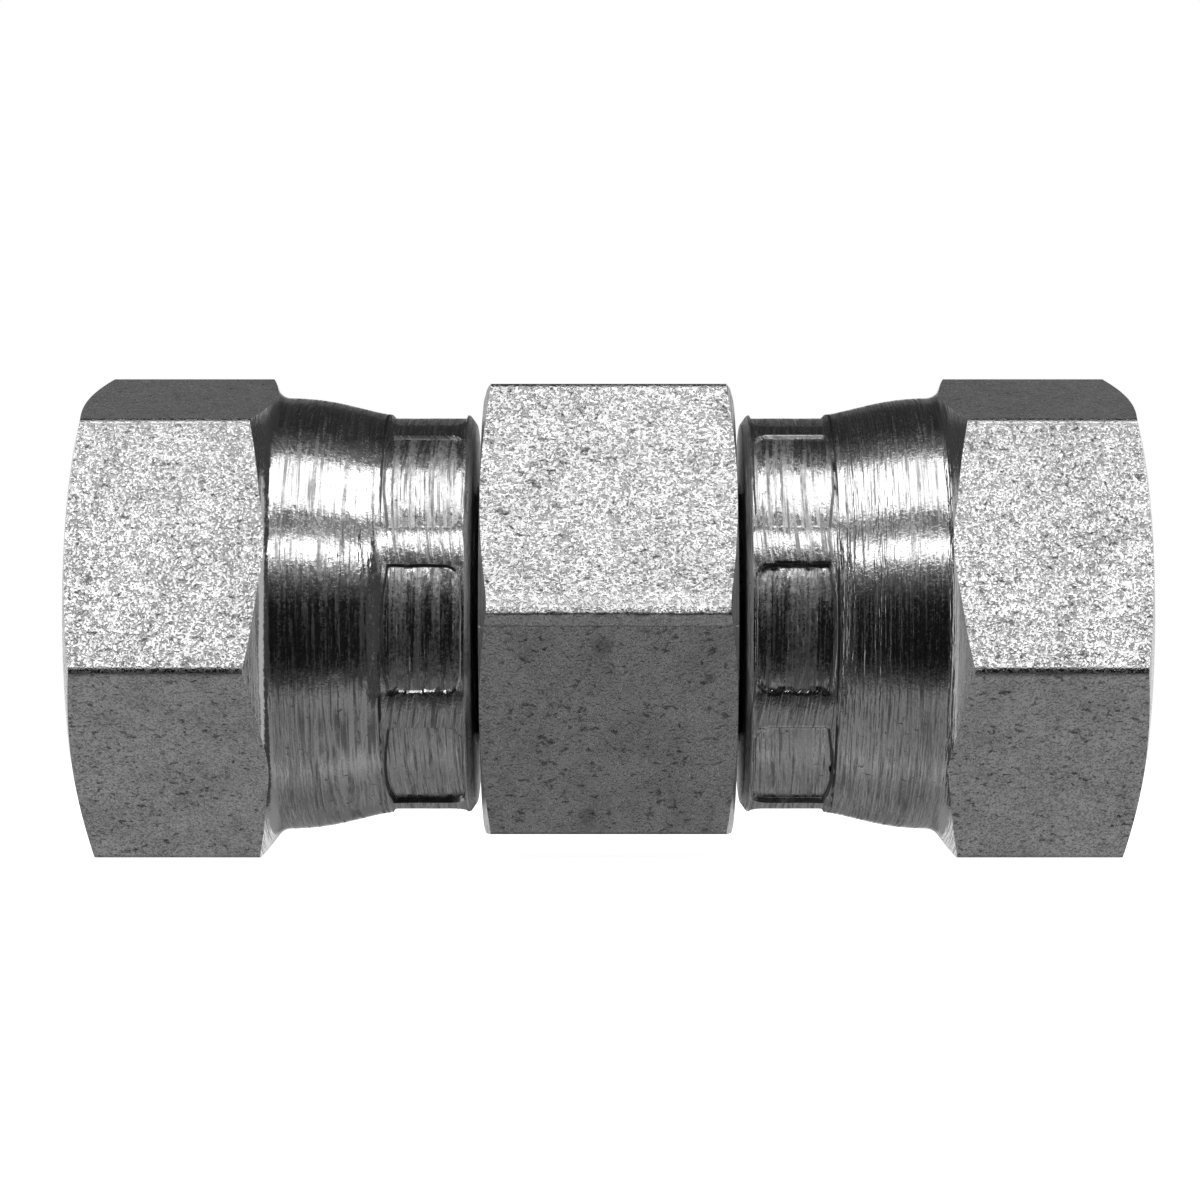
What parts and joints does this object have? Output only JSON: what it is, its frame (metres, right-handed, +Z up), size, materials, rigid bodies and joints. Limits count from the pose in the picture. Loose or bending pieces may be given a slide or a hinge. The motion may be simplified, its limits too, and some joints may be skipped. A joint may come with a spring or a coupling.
{
  "type": "swivel union",
  "caption": "Straight pipe union: a hexagon middle with a coned nose at each end, and a crimped-on, free-turning female-threaded nut on each nose.",
  "frame": {"origin": "middle of the union, on the flow axis", "axes": "+X along the flow axis out of the right nut, +Z up, -Y towards the side that the picture shows; the middle hexagon has a flat up and a flat down"},
  "size_m": [0.0636, 0.031, 0.03],
  "materials": {
    "plated_body": "zinc plated, drawn bar with fine pits on the flats and turned ends",
    "plated_nut": "zinc plated, drawn bar with fine pits on the flats, turned and crimped skirt"
  },
  "bodies": {
    "union": {"union_body": "plated_body"},
    "left_nut": {"left_swivel_nut": "plated_nut"},
    "right_nut": {"right_swivel_nut": "plated_nut"}
  },
  "joints": [
    {"name": "left_nut_swivel", "type": "hinge", "parent": "union", "child": "left_nut", "pos_m": [-0.017, 0, 0], "axis": [1, 0, 0], "continuous": true},
    {"name": "right_nut_swivel", "type": "hinge", "parent": "union", "child": "right_nut", "pos_m": [0.017, 0, 0], "axis": [1, 0, 0], "continuous": true}
  ]
}
